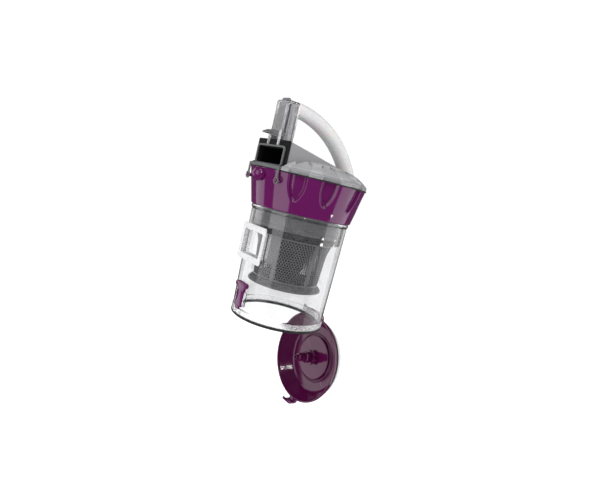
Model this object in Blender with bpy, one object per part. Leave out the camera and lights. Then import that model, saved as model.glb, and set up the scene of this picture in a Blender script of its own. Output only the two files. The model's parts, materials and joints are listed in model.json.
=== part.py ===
"""Dust canister of a bagless cyclone vacuum cleaner, with its base lid hanging open.

Sizes are in millimetres and become metres in each mesh. Shapes are drawn in the canister's own
coordinates: Z runs up the bin's axis from the rim that the base lid seals, and the front, with the
inlet, the outlet and the handle's column, faces -Y. The part frame lifts them so that the world's
origin is the middle of the handle's grip, where the canister is held.
"""
import math

import bmesh
import bpy
from mathutils import Matrix, Vector

MM = 0.001
GAP = 0.3                      # between neighbouring pieces
WALL = 2.0                     # moulded wall

# Driving dimensions
BIN_FLANGE_R = 70.0            # clear flange at the bin's mouth
BIN_BOTTOM_R = 69.0            # bin wall just above the flange
BIN_TOP_R = 72.0               # bin wall at the collar's lower edge
COLLAR_BOTTOM_Z = 163.0
COLLAR_TOP_Z = 213.5
COLLAR_BOTTOM_R = 74.6
COLLAR_TOP_R = 86.2
RIM_R = 87.0                   # widest circle, on the grey top lid
HINGE_Y, HINGE_Z = 75.0, 6.0   # base lid's hinge axis, behind the bin's mouth
LID_OPEN_DEG = 86.4
LID_R = 72.3
GRIP_Y, GRIP_Z = -5.0, 293.0   # middle of the handle's grip
ARCH_Y, ARCH_Z, ARCH_R = -55.0, 152.0, 150.0
COLUMN_Y, COLUMN_X = (-73.5, -52.0), 15.2
COLUMN_Z = (255.6, 309.0)
PORT_Y, PORT_X, PORT_Z = (-74.0, -70.8), 38.0, (217.5, 255.0)
PORT_MOUTH_X, PORT_MOUTH_Z = 30.0, (221.7, 244.7)
FLANGE_TOP_Z = 13.0            # where the bin's wall leaves its thick rim
BIN_TOP_Z = 186.0
INLET_Z = 108.75               # middle of the inlet window
HINGE_HALF = 20.0              # cutters and holes along the hinge axis reach this far either side
PIN_R, PIN_HOLE_R = 1.5, 1.9

for old in list(bpy.data.objects):
    bpy.data.objects.remove(old)


# ---------------------------------------------------------------- helpers

def material(name, colour, roughness, metallic=0.0, alpha=1.0):
    mat = bpy.data.materials.new(name)
    mat.use_nodes = True
    shader = mat.node_tree.nodes["Principled BSDF"]
    shader.inputs["Base Color"].default_value = (*colour, 1.0)
    shader.inputs["Roughness"].default_value = roughness
    shader.inputs["Metallic"].default_value = metallic
    shader.inputs["Alpha"].default_value = alpha
    return mat


def frame_empty(name, parent=None, location=(0, 0, 0), rotation=(0, 0, 0)):
    empty = bpy.data.objects.new(name, None)
    bpy.context.collection.objects.link(empty)
    empty.parent = parent
    empty.location = Vector(location) * MM
    empty.rotation_euler = rotation
    return empty


def finish_object(name, bm, mat, body):
    """Turn a bmesh drawn in canister millimetres into an object carried by a body's empty."""
    bmesh.ops.recalc_face_normals(bm, faces=bm.faces)
    bmesh.ops.scale(bm, vec=(MM, MM, MM), verts=bm.verts)
    mesh = bpy.data.meshes.new(name)
    bm.to_mesh(mesh)
    bm.free()
    mesh.shade_smooth()
    mesh.set_sharp_from_angle(angle=math.radians(35))
    obj = bpy.data.objects.new(name, mesh)
    bpy.context.collection.objects.link(obj)
    if mat is not None:
        mesh.materials.append(mat)
    obj.parent = body
    if body is lid_body:
        obj.location = -body.location
    return obj


def spin_profile(bm, profile, segments):
    """Add the closed body that a closed (radius, height) outline makes about the Z axis."""
    verts = [bm.verts.new((r, 0, z)) for r, z in profile]
    edges = [bm.edges.new((a, b)) for a, b in zip(verts, verts[1:])]
    if profile[0][0] > 0:
        edges.append(bm.edges.new((verts[-1], verts[0])))
    bmesh.ops.spin(bm, geom=verts + edges, cent=(0, 0, 0), axis=(0, 0, 1),
                   angle=math.tau, steps=segments, use_merge=True)
    bmesh.ops.remove_doubles(bm, verts=bm.verts, dist=0.001)


def lathe(name, profile, mat, body, segments=40):
    bm = bmesh.new()
    spin_profile(bm, profile, segments)
    return finish_object(name, bm, mat, body)


def ring(name, inner, outer, low, high, mat, body, segments=40):
    return lathe(name, [(inner, low), (outer, low), (outer, high), (inner, high)], mat, body, segments)


def add_box(bm, x, y, z, bevel=0.0):
    """Add a box between (low, high) limits, its edges rounded by one bevel step."""
    size = Vector((x[1] - x[0], y[1] - y[0], z[1] - z[0]))
    centre = Vector((sum(x), sum(y), sum(z))) / 2
    made = bmesh.ops.create_cube(bm, size=1.0)["verts"]
    bmesh.ops.scale(bm, vec=size, verts=made)
    bmesh.ops.translate(bm, vec=centre, verts=made)
    if bevel:
        edges = {e for v in made for e in v.link_edges}
        bmesh.ops.bevel(bm, geom=list(edges), offset=bevel, segments=2, affect="EDGES", profile=0.5)


def box(name, x, y, z, mat, body, bevel=0.0):
    bm = bmesh.new()
    add_box(bm, x, y, z, bevel)
    return finish_object(name, bm, mat, body)


def rounded_outline(half_width, half_height, radius, steps=3):
    """Corner points of a rounded rectangle about the origin, counter-clockwise."""
    points = []
    for corner in range(4):
        cx = (half_width - radius) * (1 if corner in (0, 3) else -1)
        cy = (half_height - radius) * (1 if corner in (0, 1) else -1)
        for step in range(steps + 1):
            angle = math.pi / 2 * (corner + step / steps)
            points.append((cx + radius * math.cos(angle), cy + radius * math.sin(angle)))
    return points


def frame_along_y(name, outer, inner, centre_z, y, mat, body):
    """A rectangular tube along Y: outer and inner are (half width, half height, corner radius)."""
    bm = bmesh.new()
    loops = []
    for shape, depth in ((outer, y[0]), (outer, y[1]), (inner, y[1]), (inner, y[0])):
        loops.append([bm.verts.new((u, depth, centre_z + v)) for u, v in rounded_outline(*shape)])
    for first, second in zip(loops, loops[1:] + loops[:1]):
        count = len(first)
        for i in range(count):
            j = (i + 1) % count
            bm.faces.new((first[i], first[j], second[j], second[i]))
    return finish_object(name, bm, mat, body)


def prism_along_x(bm, outline, x):
    """Add a (y, z) outline extruded across x limits."""
    sides = [[bm.verts.new((at, y, z)) for y, z in outline] for at in x]
    bm.faces.new(sides[0])
    bm.faces.new(sides[1])
    for i in range(len(outline)):
        j = (i + 1) % len(outline)
        bm.faces.new((sides[0][i], sides[0][j], sides[1][j], sides[1][i]))


def prism(name, outline, x, mat, body):
    bm = bmesh.new()
    prism_along_x(bm, outline, x)
    return finish_object(name, bm, mat, body)


def add_rod(bm, start, end, radius, sides=12):
    start, end = Vector(start), Vector(end)
    turn = (end - start).to_track_quat("Z", "Y").to_matrix().to_4x4()
    bmesh.ops.create_cone(bm, cap_ends=True, cap_tris=False, segments=sides, radius1=radius,
                          radius2=radius, depth=(end - start).length,
                          matrix=Matrix.Translation((start + end) / 2) @ turn)


def rod(name, start, end, radius, mat, body, sides=12):
    bm = bmesh.new()
    add_rod(bm, start, end, radius, sides)
    return finish_object(name, bm, mat, body)


def coil_spring(name, centre, low, high, coil_radius, wire_radius, turns, mat, body):
    """A compression spring along Z: one tube swept along its helix, closed at both ends."""
    per_turn, sides = 8, 4
    bm = bmesh.new()
    rings = []
    for k in range(turns * per_turn + 1):
        share = k / (turns * per_turn)
        angle = math.tau * turns * share
        out = Vector((math.cos(angle), math.sin(angle), 0))
        middle = Vector((*centre, low + wire_radius + (high - low - 2 * wire_radius) * share))
        middle += out * coil_radius
        rings.append([bm.verts.new(middle + wire_radius * (out * math.cos(a) + Vector((0, 0, math.sin(a)))))
                      for a in (math.tau * s / sides for s in range(sides))])
    for first, second in zip(rings, rings[1:]):
        for s in range(sides):
            t = (s + 1) % sides
            bm.faces.new((first[s], first[t], second[t], second[s]))
    bm.faces.new(rings[0])
    bm.faces.new(rings[-1])
    return finish_object(name, bm, mat, body)


def combine(target, tool, operation):
    """Cut or join with a hidden tool object by a Boolean modifier."""
    tool.hide_render = True
    tool.display_type = "WIRE"
    modifier = target.modifiers.new(tool.name, "BOOLEAN")
    modifier.operation = operation
    modifier.object = tool
    modifier.solver = "EXACT"


def bin_radius(z):
    """Outside radius of the tapering bin wall."""
    return BIN_BOTTOM_R + (BIN_TOP_R - BIN_BOTTOM_R) * (z - FLANGE_TOP_Z) / (COLLAR_BOTTOM_Z - FLANGE_TOP_Z)


def hinge_line(half):
    """Two points on the base lid's hinge axis, this far to the left and right."""
    return (-half, HINGE_Y, HINGE_Z), (half, HINGE_Y, HINGE_Z)


# ---------------------------------------------------------------- bodies and materials

part_frame = frame_empty("part_frame", location=(0, -GRIP_Y, -GRIP_Z))
latch_body = frame_empty("latch_travel", part_frame)
bin_body = frame_empty("bin_twist_axis", part_frame)
lever_body = frame_empty("lever_travel", bin_body)
lid_body = frame_empty("lid_hinge_axis", bin_body, (0, HINGE_Y, HINGE_Z),
                       (math.radians(LID_OPEN_DEG), 0, 0))

PURPLE = material("purple_gloss_abs", (0.11, 0.008, 0.085), 0.15)
AUBERGINE = material("aubergine_gloss_abs", (0.055, 0.002, 0.022), 0.16)
CLEAR = material("clear_styrene", (0.93, 0.93, 0.93), 0.05, alpha=0.25)
MILKY = material("milky_translucent_plastic", (0.78, 0.77, 0.78), 0.25, alpha=0.85)
SILVER = material("silver_grey_plastic", (0.38, 0.38, 0.39), 0.30)
GREY = material("mid_grey_plastic", (0.14, 0.14, 0.15), 0.38)
DARK = material("dark_grey_plastic", (0.07, 0.068, 0.072), 0.35)
BLACK = material("black_plastic", (0.008, 0.008, 0.009), 0.30)
RUBBER = material("grey_rubber", (0.20, 0.20, 0.205), 0.60)
BLACK_RUBBER = material("black_rubber", (0.012, 0.012, 0.012), 0.55)
STEEL = material("bright_steel", (0.62, 0.62, 0.63), 0.25, metallic=1.0)
FOAM = material("filter_foam", (0.05, 0.05, 0.055), 0.95)
PALE = material("pale_grey_foot", (0.42, 0.41, 0.42), 0.55)


# ---------------------------------------------------------------- the clear bin

def make_bin():
    """The tapering clear shell, its inlet window, hinge ears, lever rails, lugs and catch ledge."""
    top_r = bin_radius(BIN_TOP_Z)
    shell = lathe("bin_shell", [
        (66.0, 4.0), (BIN_FLANGE_R, 4.0), (BIN_FLANGE_R, 11.0), (BIN_BOTTOM_R, FLANGE_TOP_Z),
        (bin_radius(157.0), 157.0), (73.2, 158.4), (73.2, 160.8), (bin_radius(162.2), 162.2),
        (top_r, BIN_TOP_Z), (top_r - WALL, BIN_TOP_Z), (BIN_BOTTOM_R - WALL, FLANGE_TOP_Z), (66.0, 9.0)],
        CLEAR, bin_body, 48)
    window = box("bin_window_cutter", (-25.8, 25.8), (-90, -40), (90.0, 127.5), None, bin_body)
    combine(shell, window, "DIFFERENCE")

    extras = bmesh.new()
    for side in (-1, 1):
        ear = sorted((side * 14.0, side * 18.5))
        outline = [(67.4, 6.0), (70.9, 4.3), (70.9, 2.4), (HINGE_Y, 1.6), (79.4, 4.0), (79.4, 8.0),
                   (HINGE_Y, 10.4), (67.4, 16.0)]
        prism_along_x(extras, outline, ear)
        add_box(extras, sorted((side * 9.2, side * 11.2)), (-72.6, -67.2), (18, 39))
        add_box(extras, sorted((side * 4.5, side * 7.0)), (-73.2, -68.4), (6, 9))
    add_box(extras, (-1.5, 1.5), (-72.4, -68.4), (22.4, 23.6))
    joined = finish_object("bin_extras_tool", extras, None, bin_body)
    combine(shell, joined, "UNION")
    pin_hole = rod("hinge_hole_cutter", *hinge_line(HINGE_HALF), PIN_HOLE_R, None, bin_body)
    combine(shell, pin_hole, "DIFFERENCE")

    lugs = bmesh.new()
    for third in range(3):
        angle = math.tau * third / 3
        turn = Matrix.Rotation(angle, 4, "Z")
        before = set(lugs.verts)
        add_box(lugs, (-7, 7), (-73.7, -71.4), (175.0, 179.0))
        bmesh.ops.transform(lugs, matrix=turn, verts=[v for v in lugs.verts if v not in before])
    bayonet = finish_object("bayonet_lug_tool", lugs, None, bin_body)
    combine(shell, bayonet, "UNION")


def make_inlet():
    """Clear frame and duct that take the dirty air through the bin's front wall."""
    frame_along_y("inlet_frame", (29.5, 26.25, 3.0), (23.5, 17.5, 2.0), INLET_Z, (-73.4, -71.8),
                  CLEAR, bin_body)
    frame_along_y("inlet_duct", (25.5, 18.5, 2.5), (23.5, 16.8, 1.5), INLET_Z, (-71.5, -59.0),
                  CLEAR, bin_body)


def make_bin_seals():
    lathe("base_seal", [(65.0, 0.0), (69.4, 0.0), (70.0, 0.8), (70.0, 3.7), (65.0, 3.7)],
          BLACK_RUBBER, bin_body)
    ring("bin_top_seal", 69.4, 72.2, 186.3, 188.2, BLACK_RUBBER, bin_body)


def make_release_lever():
    """T-headed slide that pushes the base lid's catch off its ledge, with its return spring."""
    lever = box("release_lever", (-8.4, 8.4), (-74.2, -70.4), (16.2, 46.0), PURPLE, lever_body, 0.8)
    head = box("lever_head_tool", (-14.0, 14.0), (-76.0, -70.2), (44.0, 52.0), None, lever_body, 1.6)
    combine(lever, head, "UNION")
    tongue = box("lever_tongue_tool", (-3.8, 3.8), (-73.9, -70.9), (12.4, 17.2), None, lever_body)
    combine(lever, tongue, "UNION")
    pocket = box("lever_pocket_cutter", (-1.9, 1.9), (-73.2, -69.0), (22.0, 38.0), None, lever_body)
    combine(lever, pocket, "DIFFERENCE")
    coil_spring("lever_spring", (0, -71.6), 23.9, 37.7, 0.9, 0.28, 6, STEEL, bin_body)


# ---------------------------------------------------------------- the base lid, drawn closed

def make_base_lid():
    """Dished lid with a raised middle, a hinge knuckle, the vortex post, catch and foot ring."""
    dish = lathe("base_lid", [
        (0.0, -23.0), (33.4, -23.0), (34.4, -26.8), (55.0, -26.8), (58.8, -23.6), (63.6, -15.6),
        (68.6, -8.8), (72.0, -3.8), (LID_R, -0.4), (70.0, -0.4), (69.2, -3.4), (66.4, -8.0),
        (61.2, -15.6), (56.6, -22.6), (53.6, -24.8), (36.4, -24.8), (36.0, -21.4), (35.4, -21.0),
        (0.0, -21.0)],
        AUBERGINE, lid_body, 48)
    arm = bmesh.new()
    add_box(arm, (-13.5, 13.5), (68.5, 77.0), (-6.6, -1.2))
    prism_along_x(arm, [(72.6, -3.0), (78.4, -3.0), (79.0, HINGE_Z), (78.0, 9.0), (HINGE_Y, 10.0),
                        (72.0, 9.0), (71.2, HINGE_Z)], (-13.5, 13.5))
    knuckle = finish_object("knuckle_tool", arm, None, lid_body)
    web = knuckle.modifiers.new("self_union", "BOOLEAN")
    web.operation = "UNION"
    web.use_self = True
    web.object = box("knuckle_web_tool", (-13.5, 13.5), (73.0, 77.0), (-5.0, 4.0), None, lid_body)
    web.object.hide_render = True
    web.object.display_type = "WIRE"
    combine(dish, knuckle, "UNION")
    hole = rod("knuckle_hole_cutter", *hinge_line(HINGE_HALF), PIN_HOLE_R, None, lid_body)
    combine(dish, hole, "DIFFERENCE")

    lathe("vortex_post", [
        (0.0, -20.7), (10.0, -20.7), (9.6, -19.2), (7.4, -18.8), (7.4, -18.0), (12.2, -17.4),
        (12.2, -12.8), (9.0, -12.0), (9.0, -2.4), (7.0, -1.4), (6.8, 12.0), (3.8, 13.0),
        (3.4, 18.6), (2.3, 18.6), (2.3, 8.0), (0.0, 8.0)],
        AUBERGINE, lid_body, 24)
    hook = bmesh.new()
    prism_along_x(hook, [(-72.7, -3.0), (-72.9, -6.2), (-76.4, -6.2), (-79.0, -3.0), (-79.0, 11.4),
                         (-77.4, 12.8), (-73.0, 12.8), (-73.0, 9.7), (-75.6, 9.3), (-76.2, -1.4)],
                  (-8.4, 8.4))
    catch = finish_object("lid_catch", hook, PURPLE, lid_body)
    gate = box("catch_gate_cutter", (-4.2, 4.2), (-75.6, -70.0), (9.0, 14.0), None, lid_body)
    combine(catch, gate, "DIFFERENCE")
    lathe("foot_ring", [(47.6, -29.4), (55.4, -29.4), (59.4, -26.8), (62.2, -22.6), (66.2, -15.4),
                        (64.4, -15.4), (59.4, -23.9), (55.4, -27.1), (47.6, -27.1)],
          PALE, lid_body)


def make_hinge_pin():
    rod("lid_hinge_pin", *hinge_line(18.3), PIN_R, STEEL, bin_body)


# ---------------------------------------------------------------- the collar and the cyclone

COLLAR_SEGMENTS = 72
RECESS_ANGLES = [math.radians(-90 + side * (42.5 + 30.5 * k)) for side in (-1, 1) for k in range(5)]
RECESS_DEPTH = 4.2
RECESS_HALF_WIDTH = 13.0
RECESS_ROUND_Z = (178.5, 198.0)      # tip of the U, and where its sides become parallel


def recess_depth(angle, z):
    """Depth of the U-shaped finger recesses that run down from the collar's rim."""
    away = min(abs((angle - middle + math.pi) % math.tau - math.pi) for middle in RECESS_ANGLES)
    across = away * COLLAR_TOP_R / RECESS_HALF_WIDTH
    tip, straight = RECESS_ROUND_Z
    down = max(0.0, (straight - z) / (straight - tip))
    inside = 1.0 - across * across - down * down
    return RECESS_DEPTH * min(1.0, 1.6 * inside) if inside > 0 else 0.0


NOSE_CENTRE = Vector((0.0, -86.2, 205.0))
NOSE_SIZE = Vector((12.6, 9.6, 9.8))
EAR_X, EAR_Z = 36.0, 201.0      # pegs on the collar that the port gasket's ears hook over


def make_collar():
    outer = [(COLLAR_BOTTOM_R, COLLAR_BOTTOM_Z), (77.0, 173.0), (78.6, 180.0), (80.4, 187.5),
             (82.2, 195.5), (84.2, 204.5), (COLLAR_TOP_R, COLLAR_TOP_Z)]
    inner = [(80.2, COLLAR_TOP_Z), (77.6, 201.0), (76.2, 190.8), (60.0, 190.5), (60.0, 188.5),
             (75.6, 188.5), (75.0, 172.8), (72.9, 172.0), (72.9, COLLAR_BOTTOM_Z)]
    bm = bmesh.new()
    spin_profile(bm, outer + inner, COLLAR_SEGMENTS)
    for vert in bm.verts:
        radius = math.hypot(vert.co.x, vert.co.y)
        if radius > 78.5 and vert.co.z > 176.0:
            factor = 1 - recess_depth(math.atan2(vert.co.y, vert.co.x), vert.co.z) / radius
            vert.co.x *= factor
            vert.co.y *= factor
    collar = finish_object("collar", bm, PURPLE, part_frame)
    nose = bmesh.new()
    bmesh.ops.create_uvsphere(nose, u_segments=16, v_segments=10, radius=1.0)
    bmesh.ops.scale(nose, vec=NOSE_SIZE, verts=nose.verts)
    bmesh.ops.translate(nose, vec=NOSE_CENTRE, verts=nose.verts)
    combine(collar, finish_object("nose_tool", nose, None, part_frame), "UNION")
    for side in (-1, 1):
        peg = rod("peg_tool", (side * EAR_X, -74.0, EAR_Z), (side * EAR_X, -83.0, EAR_Z), 2.4, None,
                  part_frame)
        combine(collar, peg, "UNION")


def make_shroud():
    """Grey cyclone: seal ring, screen cone, skirt, and the inner cone with its vortex finder."""
    lathe("shroud_ring", [
        (58.2, 131.2), (65.2, 131.2), (65.2, 137.2), (68.1, 137.2), (68.5, 188.2), (66.2, 188.2),
        (65.8, 139.4), (63.2, 138.2), (63.2, 133.4), (58.2, 133.4)], GREY, part_frame)
    lathe("shroud_lip_seal", [
        (59.0, 127.9), (66.6, 127.9), (68.3, 130.0), (68.3, 136.9), (65.5, 136.9), (65.5, 130.9),
        (59.0, 130.9)], BLACK_RUBBER, part_frame)
    lathe("shroud_screen", [(47.7, 62.0), (49.2, 62.0), (52.5, 110.0), (57.8, 127.6), (57.8, 133.0),
                            (56.3, 133.0), (56.3, 127.9), (51.0, 110.4)], GREY, part_frame)
    lathe("shroud_skirt", [(13.0, 53.2), (56.0, 53.2), (56.2, 55.0), (52.0, 58.6), (49.2, 61.7),
                           (47.6, 61.7), (47.6, 55.2), (13.0, 55.2)], GREY, part_frame)
    lathe("cyclone_cone", [(11.0, 49.0), (12.7, 49.0), (12.7, 60.0), (44.0, 140.0), (57.9, 140.0),
                           (57.9, 142.0), (43.0, 142.0), (11.0, 60.6)], DARK, part_frame)
    lathe("vortex_finder", [(17.0, 118.0), (19.0, 118.0), (20.5, 160.0), (60.0, 164.0), (60.0, 166.0),
                            (18.6, 162.4)], DARK, part_frame)


def make_filter():
    lathe("filter_frame", [(30.0, 190.8), (74.0, 190.8), (74.0, 210.0), (71.2, 210.0), (71.2, 192.8),
                           (30.0, 192.8)], SILVER, part_frame)
    ring("filter_foam", 0.0, 70.6, 195.2, 208.0, FOAM, part_frame)


# ---------------------------------------------------------------- the top

DUCT_TOP = [(PORT_Y[1] + GAP, 254.4), (-40.0, 249.2), (-8.0, 243.6), (12.0, 240.2)]
DUCT_REAR_Y = 15.0
DUCT_X = 37.0
DOME = [(84.6, 222.2), (72.0, 230.4), (61.0, 234.7), (40.0, 238.6)]     # outside of the top lid's dome


def make_top_lid():
    dome = lathe("top_lid", [
        (82.4, 215.4), (RIM_R, 215.4), (RIM_R, 219.4), *DOME, (0.0, 240.4), (0.0, 238.2),
        (39.6, 236.4), (60.2, 232.6), (71.0, 228.4), (82.4, 220.6)], SILVER, part_frame, 48)
    slot = box("top_lid_duct_cutter", (-DUCT_X - GAP, DUCT_X + GAP), (-95, DUCT_REAR_Y + GAP), (205, 260),
               None, part_frame)
    combine(dome, slot, "DIFFERENCE")
    notch = box("top_lid_port_cutter", (-PORT_X - GAP, PORT_X + GAP), (-95, PORT_Y[1] + GAP),
                (205, 260), None, part_frame)
    combine(dome, notch, "DIFFERENCE")
    gasket = ring("lid_gasket", 80.4, 86.6, 213.8, 215.1, BLACK_RUBBER, part_frame, 48)
    cut = box("gasket_port_cutter", (-PORT_X - GAP, PORT_X + GAP), (-95, -50), (205, 218),
              None, part_frame)
    combine(gasket, cut, "DIFFERENCE")


def make_exhaust():
    """Wedge duct, black port housing and the grey rubber gasket hooked under it."""
    outline = DUCT_TOP + [(DUCT_REAR_Y, 239.6), (DUCT_REAR_Y, 219.0), (PORT_Y[1] + GAP, 217.5)]
    duct = prism("exhaust_duct", outline, (-DUCT_X, DUCT_X), SILVER, part_frame)
    inside = [(y, z - WALL) for y, z in DUCT_TOP]
    mouth_y, rear_y = PORT_Y[1] - 3, DUCT_REAR_Y - WALL
    inside[0] = (mouth_y, DUCT_TOP[0][1] - WALL)
    inside += [(rear_y, 237.4), (rear_y, 221.0), (mouth_y, PORT_Z[0] + WALL)]
    hollow = prism("duct_hollow_cutter", inside, (-DUCT_X + WALL, DUCT_X - WALL), None, part_frame)
    combine(duct, hollow, "DIFFERENCE")
    drop = box("duct_inlet_cutter", (-24, 24), (-48, DUCT_REAR_Y - 5), (210, 224), None, part_frame)
    combine(duct, drop, "DIFFERENCE")
    housing = box("port_housing", (-PORT_X, PORT_X), PORT_Y, PORT_Z, BLACK, part_frame, 1.2)
    opening = box("port_opening_cutter", (-PORT_MOUTH_X, PORT_MOUTH_X), (-80, -60), PORT_MOUTH_Z,
                  None, part_frame)
    combine(housing, opening, "DIFFERENCE")
    make_port_gasket()


def make_port_gasket():
    """Grey rubber frame and sill, with two ears that reach down over the collar's pegs."""
    gasket = frame_along_y("port_gasket", (33.4, 14.0, 4.5), (30.9, 11.5, 3.2),
                           sum(PORT_MOUTH_Z) / 2, (-77.0, -74.3), RUBBER, part_frame)
    half, low, high = 37.6, 215.4, 219.9
    arc = [half * (k / 4 - 1) for k in range(9)]
    outline = [(x, -math.sqrt(87.8 ** 2 - x * x)) for x in arc] + [(half, -74.3), (-half, -74.3)]
    bm = bmesh.new()
    sides = [[bm.verts.new((x, y, z)) for x, y in outline] for z in (low, high)]
    bm.faces.new(sides[0])
    bm.faces.new(sides[1])
    for i in range(len(outline)):
        j = (i + 1) % len(outline)
        bm.faces.new((sides[0][i], sides[0][j], sides[1][j], sides[1][i]))
    combine(gasket, finish_object("sill_tool", bm, None, part_frame), "UNION")
    for side in (-1, 1):
        strap = box("strap_tool", sorted((side * (EAR_X - 2.2), side * (EAR_X + 1.5))), (-81.8, -80.0),
                    (EAR_Z + 3.6, high), None, part_frame)
        combine(gasket, strap, "UNION")
        ear = bmesh.new()
        outer, inner, count = 5.2, 2.9, 16
        loops = []
        for radius, depth in ((outer, -81.9), (outer, -79.9), (inner, -79.9), (inner, -81.9)):
            loops.append([ear.verts.new((side * EAR_X + radius * math.cos(a), depth,
                                         EAR_Z + radius * math.sin(a)))
                          for a in (math.tau * k / count for k in range(count))])
        for first, second in zip(loops, loops[1:] + loops[:1]):
            for k in range(count):
                m = (k + 1) % count
                ear.faces.new((first[k], first[m], second[m], second[k]))
        combine(gasket, finish_object("ear_tool", ear, None, part_frame), "UNION")


# ---------------------------------------------------------------- the handle

def make_handle():
    """Milky arch from the column's back down to the top lid, an oval swept along one arc."""
    steps, sides = 14, 14
    first, last = math.radians(88.6), math.radians(26.0)
    bm = bmesh.new()
    rings = []
    for k in range(steps + 1):
        share = k / steps
        angle = first + (last - first) * share
        out = Vector((0, math.cos(angle), math.sin(angle)))
        middle = Vector((0, ARCH_Y, ARCH_Z)) + out * ARCH_R
        thick = 9.8 + 2.2 * share
        rings.append([bm.verts.new(middle + out * thick * math.sin(a) + Vector((11.0 * math.cos(a), 0, 0)))
                      for a in (math.tau * s / sides for s in range(sides))])
    for one, two in zip(rings, rings[1:]):
        for s in range(sides):
            t = (s + 1) % sides
            bm.faces.new((one[s], one[t], two[t], two[s]))
    bm.faces.new(rings[0])
    bm.faces.new(rings[-1])
    arch = finish_object("handle_arch", bm, MILKY, part_frame)
    foot = lathe("arch_foot_cutter", [(0.0, 190.0), (92.0, 190.0), (92.0, 218.0)]
                 + [(r, z + 0.4) for r, z in DOME] + [(0.0, DOME[-1][1] + 0.4)], None, part_frame)
    combine(arch, foot, "DIFFERENCE")


def make_column():
    """Clear column with a grey core behind the push rod, open at its front foot for the latch."""
    column = box("handle_column", (-COLUMN_X, COLUMN_X), COLUMN_Y, COLUMN_Z, CLEAR, part_frame, 2.0)
    cavity = box("column_cavity_cutter", (-13.2, 13.2), (-71.7, -53.8), (250, 306.6), None, part_frame)
    combine(column, cavity, "DIFFERENCE")
    slot = box("column_slot_cutter", (-9.6, 9.6), (-80, -70), (250, 266.5), None, part_frame)
    combine(column, slot, "DIFFERENCE")
    opening = box("button_opening_cutter", (-7.8, 7.8), (-73.0 + WALL, -65.4), (300, 320), None, part_frame)
    combine(column, opening, "DIFFERENCE")
    box("column_core", (-8.4, 8.4), (-63.4, -54.2), (256.2, 305.6), GREY, part_frame, 1.0)


def make_latch():
    """Button, push rod and hook slide down together; the coil below the rod lifts them again."""
    box("release_button", (-7.4, 7.4), (-70.6, -65.8), (302.6, 312.0), DARK, latch_body, 0.8)
    box("push_rod", (-7.2, 7.2), (-71.0, -65.6), (266.4, 302.3), DARK, latch_body, 0.6)
    prism("dock_latch", [(-64.8, 260.4), (-64.8, 266.0), (-82.6, 266.0), (-89.8, 262.0), (-89.8, 260.4)],
          (-8.8, 8.8), DARK, latch_body)
    coil_spring("latch_spring", (0, -68.0), 255.3, 260.1, 2.4, 0.35, 3, STEEL, part_frame)


def make_screws():
    """Four screw heads that hold the filter frame down on the collar's inner web."""
    for quarter in range(4):
        angle = math.radians(45 + 90 * quarter)
        x, y = 66.0 * math.cos(angle), 66.0 * math.sin(angle)
        rod("frame_screw_" + str(quarter + 1), (x, y, 193.1), (x, y, 194.8), 3.0, STEEL, part_frame, 10)


make_bin()
make_inlet()
make_bin_seals()
make_release_lever()
make_base_lid()
make_hinge_pin()
make_collar()
make_shroud()
make_filter()
make_top_lid()
make_exhaust()
make_handle()
make_column()
make_latch()
make_screws()
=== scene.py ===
"""Looks of the dust canister: detailed shells, perforated screen, clear bin and studio light.

Shapes are drawn in the canister's own millimetres (Z up the bin's axis from its rim, front at -Y)
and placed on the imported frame, whose base seal marks the axis and the rim.
"""
import json
import math

import bmesh
import bpy
from mathutils import Matrix, Vector

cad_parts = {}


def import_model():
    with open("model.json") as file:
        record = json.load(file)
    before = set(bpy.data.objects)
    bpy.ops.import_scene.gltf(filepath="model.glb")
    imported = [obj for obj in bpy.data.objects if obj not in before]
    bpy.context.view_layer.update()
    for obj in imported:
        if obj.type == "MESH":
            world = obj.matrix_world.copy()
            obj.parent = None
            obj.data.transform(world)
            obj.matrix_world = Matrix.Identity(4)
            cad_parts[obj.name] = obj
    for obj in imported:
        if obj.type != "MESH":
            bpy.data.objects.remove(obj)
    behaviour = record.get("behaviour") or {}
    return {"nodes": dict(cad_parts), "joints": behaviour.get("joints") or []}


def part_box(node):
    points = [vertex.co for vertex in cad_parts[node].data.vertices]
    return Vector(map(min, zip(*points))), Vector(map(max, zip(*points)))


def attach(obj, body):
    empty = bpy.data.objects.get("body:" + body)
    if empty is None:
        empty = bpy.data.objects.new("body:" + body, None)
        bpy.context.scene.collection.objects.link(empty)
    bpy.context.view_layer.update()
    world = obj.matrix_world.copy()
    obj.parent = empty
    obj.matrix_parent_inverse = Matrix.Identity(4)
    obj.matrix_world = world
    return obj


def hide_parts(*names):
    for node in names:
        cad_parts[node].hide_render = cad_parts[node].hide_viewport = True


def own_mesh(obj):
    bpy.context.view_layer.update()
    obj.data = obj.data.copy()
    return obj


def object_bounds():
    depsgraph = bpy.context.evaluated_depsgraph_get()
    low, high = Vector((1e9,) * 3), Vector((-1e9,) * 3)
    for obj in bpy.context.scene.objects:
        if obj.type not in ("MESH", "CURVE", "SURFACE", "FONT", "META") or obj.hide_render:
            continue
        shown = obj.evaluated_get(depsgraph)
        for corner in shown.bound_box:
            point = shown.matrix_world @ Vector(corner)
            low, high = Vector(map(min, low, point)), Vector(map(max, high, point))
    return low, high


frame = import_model()
cad_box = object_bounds()

MM = 0.001
WALL = 2.0
seal_low, seal_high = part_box("base_seal")
AXIS_Y = (seal_low.y + seal_high.y) / 2
RIM_Z = seal_low.z
LID_HINGE = next(j for j in frame["joints"] if j["name"] == "base_lid_hinge")
LID_OPEN = -math.radians(LID_HINGE["range_deg"][0])


def world(point):
    """A point in canister millimetres, as row-frame metres."""
    return Vector((point[0] * MM, point[1] * MM + AXIS_Y, point[2] * MM + RIM_Z))


def limits(node):
    """A CAD node's lowest and highest corners in canister millimetres."""
    return [Vector((p.x / MM, (p.y - AXIS_Y) / MM, (p.z - RIM_Z) / MM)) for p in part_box(node)]


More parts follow.
